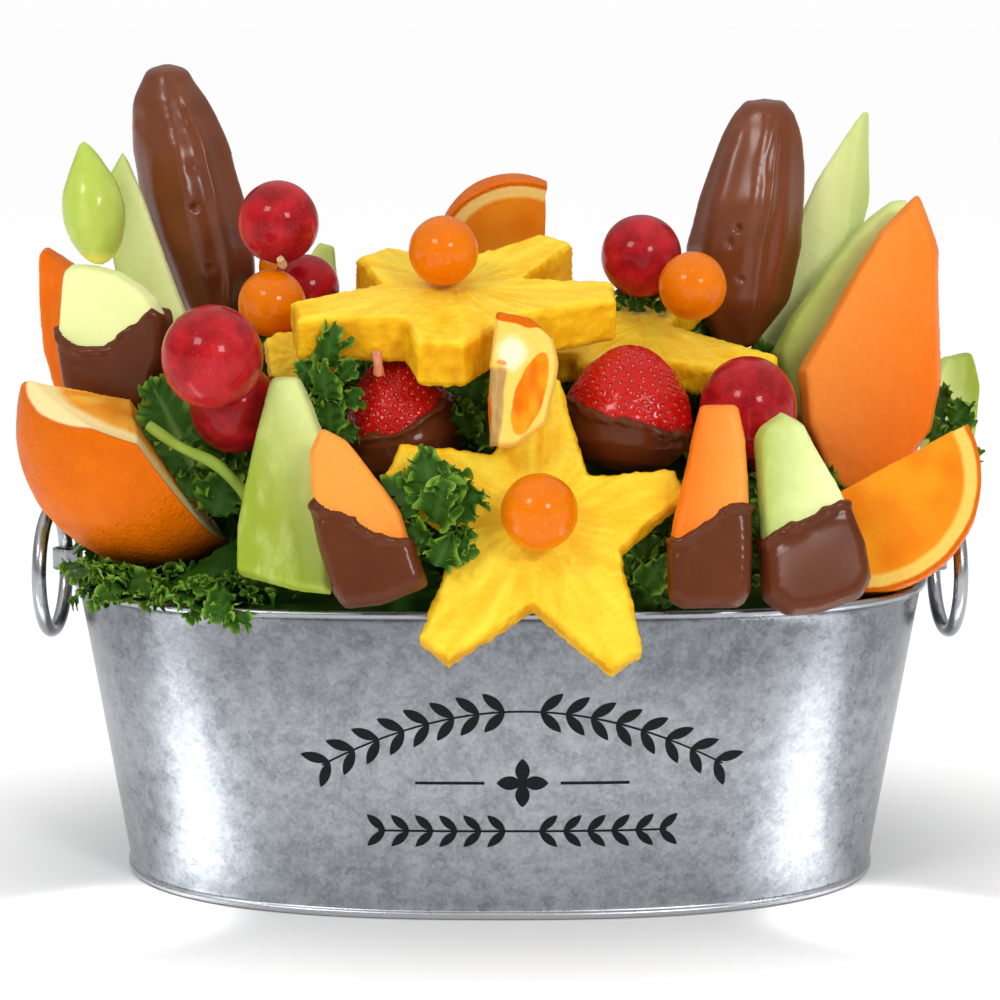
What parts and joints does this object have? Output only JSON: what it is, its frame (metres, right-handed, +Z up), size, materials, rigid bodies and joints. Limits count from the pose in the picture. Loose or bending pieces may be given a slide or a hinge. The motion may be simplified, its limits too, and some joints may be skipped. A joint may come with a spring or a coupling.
{
  "type": "fruit_bouquet",
  "caption": "Fruit bouquet of cut melon, orange, pineapple stars, grapes, berries and chocolate-dipped fruit on curly kale in a galvanised oval tub with two ring handles",
  "frame": {"origin": "middle of the flat underside of the tub", "axes": "+Z up; +X to the right along the tub's long axis, from one ring handle to the other; -Y the front of the bouquet"},
  "size_m": [0.2946, 0.188, 0.2459],
  "materials": {
    "galvanised": "hot-dip galvanised sheet with a mottled grey spangle and a soft sheen",
    "steel_wire": "round steel wire, polished",
    "kale": "curly kale leaf, dark to mid green, slightly waxy",
    "orange": "orange peel, pale pith and wet orange flesh",
    "pineapple": "wet fibrous pineapple flesh",
    "golden_berry": "smooth shiny orange berry skin",
    "red_grape": "smooth crimson grape skin with a faint bloom",
    "green_grape": "smooth yellow-green grape skin",
    "chocolate": "set milk chocolate with a soft gloss",
    "strawberry": "wet red strawberry skin with sunken seeds",
    "honeydew": "wet pale green melon flesh",
    "cantaloupe": "wet orange melon flesh",
    "skewer": "short end of a wooden skewer"
  },
  "bodies": {
    "tub": {"tub": "galvanised", "ear_left": "galvanised", "ear_right": "galvanised", "golden_berry_front": "golden_berry", "golden_berry_top": "golden_berry", "golden_berry_left": "golden_berry", "golden_berry_right": "golden_berry", "golden_berry_back": "golden_berry", "red_grape_upper_left": "red_grape", "red_grape_behind_left": "red_grape", "red_grape_front_left": "red_grape", "red_grape_low_left": "red_grape", "red_grape_upper_right": "red_grape", "red_grape_front_right": "red_grape", "red_grape_low_right": "red_grape", "pineapple_star_front": "pineapple", "pineapple_star_top": "pineapple", "pineapple_star_low": "pineapple", "cantaloupe_slice_right": "cantaloupe", "honeydew_slice_right": "honeydew", "honeydew_spear_right": "honeydew", "honeydew_bit_right": "honeydew", "cantaloupe_slice_left": "cantaloupe", "honeydew_chunk_left": "honeydew", "honeydew_sliver_left": "honeydew", "honeydew_wedge_front": "honeydew", "cantaloupe_wedge_left": "cantaloupe", "cantaloupe_wedge_right": "cantaloupe", "honeydew_wedge_right": "honeydew", "honeydew_bit_left": "honeydew", "chocolate_honeydew_left": "chocolate", "chocolate_cantaloupe_left": "chocolate", "chocolate_cantaloupe_right": "chocolate", "chocolate_honeydew_right": "chocolate", "orange_wedge_middle": "orange", "pineapple_point_left": "pineapple", "orange_wedge_left": "orange", "orange_wedge_right": "orange", "orange_wedge_top": "orange", "banana_left": "chocolate", "banana_right": "chocolate", "strawberry_left": "strawberry", "chocolate_strawberry_left": "chocolate", "strawberry_right": "strawberry", "chocolate_strawberry_right": "chocolate", "skewer_grape": "skewer", "skewer_strawberry": "skewer", "green_grape": "green_grape", "kale_rim_left": "kale", "kale_rim_front_left": "kale", "kale_leaf_left": "kale", "kale_sprig_strawberry": "kale", "kale_sprig_front": "kale", "kale_sprig_middle": "kale", "kale_sprig_star": "kale", "kale_sprig_right": "kale", "kale_sprig_top": "kale", "kale_heap": "kale"},
    "ring_left": {"ring_left": "steel_wire"},
    "ring_right": {"ring_right": "steel_wire"}
  },
  "joints": [
    {"name": "ring_left_swing", "type": "hinge", "parent": "tub", "child": "ring_left", "pos_m": [-0.1349, 0, 0.0952], "axis": [0, 0, -1], "range_deg": [0, 170]},
    {"name": "ring_right_swing", "type": "hinge", "parent": "tub", "child": "ring_right", "pos_m": [0.1349, 0, 0.0952], "axis": [0, 0, 1], "range_deg": [0, 170]}
  ]
}
